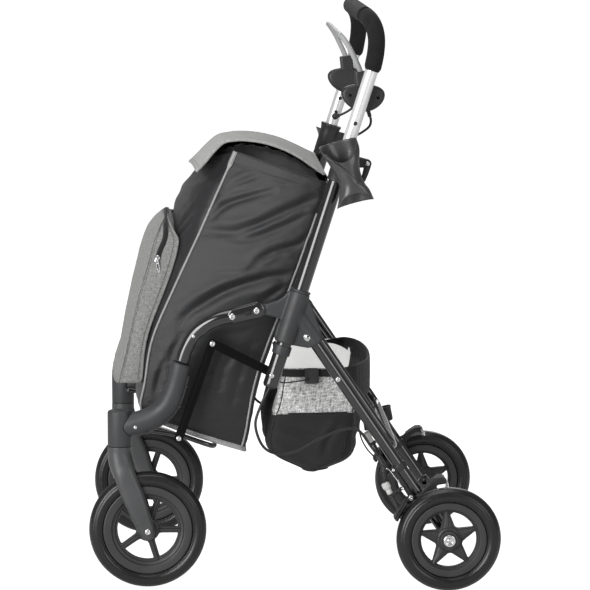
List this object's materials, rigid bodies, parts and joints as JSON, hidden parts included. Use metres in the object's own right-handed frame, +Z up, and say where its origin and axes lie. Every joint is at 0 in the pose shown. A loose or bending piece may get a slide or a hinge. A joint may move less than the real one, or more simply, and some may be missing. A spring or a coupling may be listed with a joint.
{
  "type": "shopping rollator",
  "caption": "Folding four wheeled walker with a height adjustable push handle, a full width brake bar, a lidded shopping bag with a zip pocket, and a rear basket.",
  "frame": {"origin": "on the floor, under the middle of the standing part", "axes": "+Z up, -Y towards the front, +X towards the walker's left side"},
  "size_m": [0.6239, 0.7004, 0.9861],
  "materials": {
    "black_tube": "gloss black powder coat on tube",
    "aluminium": "satin anodised",
    "plastic": "moulded black plastic",
    "rim": "moulded dark grey plastic",
    "rubber": "smooth black tread",
    "foam": "black closed cell foam",
    "chrome": "polished plate",
    "nylon": "black woven nylon",
    "melange": "grey melange weave",
    "pale_melange": "pale grey melange weave, padded",
    "mesh": "black mesh",
    "webbing": "black binding",
    "holster": "soft glossy black plastic sheet",
    "flat_steel": "black paint on flat steel",
    "cable": "black outer sleeve"
  },
  "bodies": {
    "frame": {"main_tube_left": "black_tube", "main_tube_right": "black_tube", "hub_left": "plastic", "hub_right": "plastic", "tube_collar_left": "plastic", "tube_collar_right": "plastic", "stick_holder_left": "holster", "stick_holder_right": "holster", "brake_cable_left": "cable", "brake_cable_right": "cable", "shopping_bag": "nylon", "front_pocket": "melange", "rear_basket": "mesh", "basket_rim": "webbing"},
    "rear_legs": {"rear_leg_left": "black_tube", "rear_leg_right": "black_tube", "rear_axle_left": "chrome", "rear_axle_right": "chrome", "brake_bracket_left": "plastic", "brake_bracket_right": "plastic", "tilt_pedal_left": "plastic", "tilt_pedal_right": "plastic", "rear_cross_tube": "black_tube", "stick_foot_cup_right": "plastic"},
    "front_frame": {"front_tube_left": "black_tube", "front_tube_right": "black_tube", "front_elbow_left": "plastic", "front_elbow_right": "plastic", "bag_support_rail": "black_tube"},
    "handle": {"push_bar": "aluminium", "handle_grip": "foam", "brake_housing_left": "plastic", "brake_housing_right": "plastic", "upper_cable_left": "cable", "upper_cable_right": "cable"},
    "brake_bar": {"brake_bar": "aluminium", "brake_bar_arm_left": "aluminium", "brake_bar_arm_right": "aluminium"},
    "lid": {"bag_lid": "pale_melange"},
    "zip": {"zip_slider": "chrome"},
    "brace_rear_left": {"brace_rear_left": "flat_steel"},
    "brace_front_left": {"brace_front_left": "flat_steel"},
    "caster_left": {"caster_fork_left": "plastic", "front_axle_left": "chrome"},
    "front_wheel_left": {"front_tyre_left": "rubber", "front_rim_left": "rim"},
    "rear_wheel_left": {"rear_tyre_left": "rubber", "rear_rim_left": "rim"},
    "brake_shoe_left": {"brake_shoe_left": "plastic"},
    "height_lever_left": {"height_lever_left": "plastic"},
    "brace_rear_right": {"brace_rear_right": "flat_steel"},
    "brace_front_right": {"brace_front_right": "flat_steel"},
    "caster_right": {"caster_fork_right": "plastic", "front_axle_right": "chrome"},
    "front_wheel_right": {"front_tyre_right": "rubber", "front_rim_right": "rim"},
    "rear_wheel_right": {"rear_tyre_right": "rubber", "rear_rim_right": "rim"},
    "brake_shoe_right": {"brake_shoe_right": "plastic"},
    "height_lever_right": {"height_lever_right": "plastic"}
  },
  "joints": [
    {"name": "fold", "type": "hinge", "parent": "frame", "child": "rear_legs", "pos_m": [0, 0.0265, 0.4335], "axis": [-1, 0, 0], "range_deg": [0, 50], "deforming": ["brake_cable_left", "brake_cable_right"]},
    {"name": "front_fold", "type": "hinge", "parent": "frame", "child": "front_frame", "pos_m": [0, -0.0637, 0.4795], "axis": [1, 0, 0], "range_deg": [0, 7.05]},
    {"name": "handle_height", "type": "slide", "parent": "frame", "child": "handle", "axis": [0, 0.3048, 0.9524], "range_m": [-0.006, 0.094]},
    {"name": "brake_bar_squeeze", "type": "hinge", "parent": "handle", "child": "brake_bar", "pos_m": [0, 0.1185, 0.846], "axis": [-1, 0, 0], "range_deg": [0, 14], "stiffness_Nm_per_rad": 1.5, "springref_deg": -5.73},
    {"name": "lid_open", "type": "hinge", "parent": "frame", "child": "lid", "pos_m": [0, 0.0545, 0.701], "axis": [-1, 0, 0], "range_deg": [0, 55]},
    {"name": "pocket_zip", "type": "slide", "parent": "frame", "child": "zip", "axis": [0, 0.2381, 0.9713], "range_m": [0, 0.05]},
    {"name": "brace_rear_left_swing", "type": "hinge", "parent": "frame", "child": "brace_rear_left", "pos_m": [0.2325, -0.036, 0.368], "axis": [1, 0, 0], "range_deg": [0, 3.7]},
    {"name": "brace_front_left_swing", "type": "hinge", "parent": "front_frame", "child": "brace_front_left", "pos_m": [0.228, -0.1965, 0.2565], "axis": [1, 0, 0], "range_deg": [0, 3.7]},
    {"name": "caster_left_swivel", "type": "hinge", "parent": "front_frame", "child": "caster_left", "pos_m": [0.226, -0.297, 0.2438], "axis": [0, 0, 1], "continuous": true},
    {"name": "front_wheel_left_spin", "type": "hinge", "parent": "caster_left", "child": "front_wheel_left", "pos_m": [0.226, -0.25, 0.1], "axis": [1, 0, 0], "continuous": true},
    {"name": "rear_wheel_left_spin", "type": "hinge", "parent": "rear_legs", "child": "rear_wheel_left", "pos_m": [0.277, 0.26, 0.089], "axis": [1, 0, 0], "continuous": true},
    {"name": "brake_shoe_left_press", "type": "hinge", "parent": "rear_legs", "child": "brake_shoe_left", "pos_m": [0.257, 0.19709, 0.15651], "axis": [1, 0, 0], "range_deg": [0, 4.3]},
    {"name": "height_lever_left_turn", "type": "hinge", "parent": "frame", "child": "height_lever_left", "pos_m": [0.25, 0.1215, 0.7262], "axis": [1, 0, 0], "range_deg": [0, 90]},
    {"name": "brace_rear_right_swing", "type": "hinge", "parent": "frame", "child": "brace_rear_right", "pos_m": [-0.2325, -0.036, 0.368], "axis": [1, 0, 0], "range_deg": [0, 3.7]},
    {"name": "brace_front_right_swing", "type": "hinge", "parent": "front_frame", "child": "brace_front_right", "pos_m": [-0.228, -0.1965, 0.2565], "axis": [1, 0, 0], "range_deg": [0, 3.7]},
    {"name": "caster_right_swivel", "type": "hinge", "parent": "front_frame", "child": "caster_right", "pos_m": [-0.226, -0.297, 0.2438], "axis": [0, 0, 1], "continuous": true},
    {"name": "front_wheel_right_spin", "type": "hinge", "parent": "caster_right", "child": "front_wheel_right", "pos_m": [-0.226, -0.25, 0.1], "axis": [1, 0, 0], "continuous": true},
    {"name": "rear_wheel_right_spin", "type": "hinge", "parent": "rear_legs", "child": "rear_wheel_right", "pos_m": [-0.277, 0.26, 0.089], "axis": [1, 0, 0], "continuous": true},
    {"name": "brake_shoe_right_press", "type": "hinge", "parent": "rear_legs", "child": "brake_shoe_right", "pos_m": [-0.257, 0.19709, 0.15651], "axis": [1, 0, 0], "range_deg": [0, 4.3]},
    {"name": "height_lever_right_turn", "type": "hinge", "parent": "frame", "child": "height_lever_right", "pos_m": [-0.25, 0.1215, 0.7262], "axis": [1, 0, 0], "range_deg": [0, 90]}
  ],
  "couplings": [
    {"joint": "front_fold", "follows": "fold", "ratio": 0.14},
    {"joint": "brace_rear_left_swing", "follows": "fold", "ratio": 0.0731},
    {"joint": "brace_front_left_swing", "follows": "fold", "ratio": 0.0737},
    {"joint": "brake_shoe_left_press", "follows": "brake_bar_squeeze", "ratio": 0.3},
    {"joint": "brace_rear_right_swing", "follows": "fold", "ratio": 0.0731},
    {"joint": "brace_front_right_swing", "follows": "fold", "ratio": 0.0737},
    {"joint": "brake_shoe_right_press", "follows": "brake_bar_squeeze", "ratio": 0.3}
  ]
}
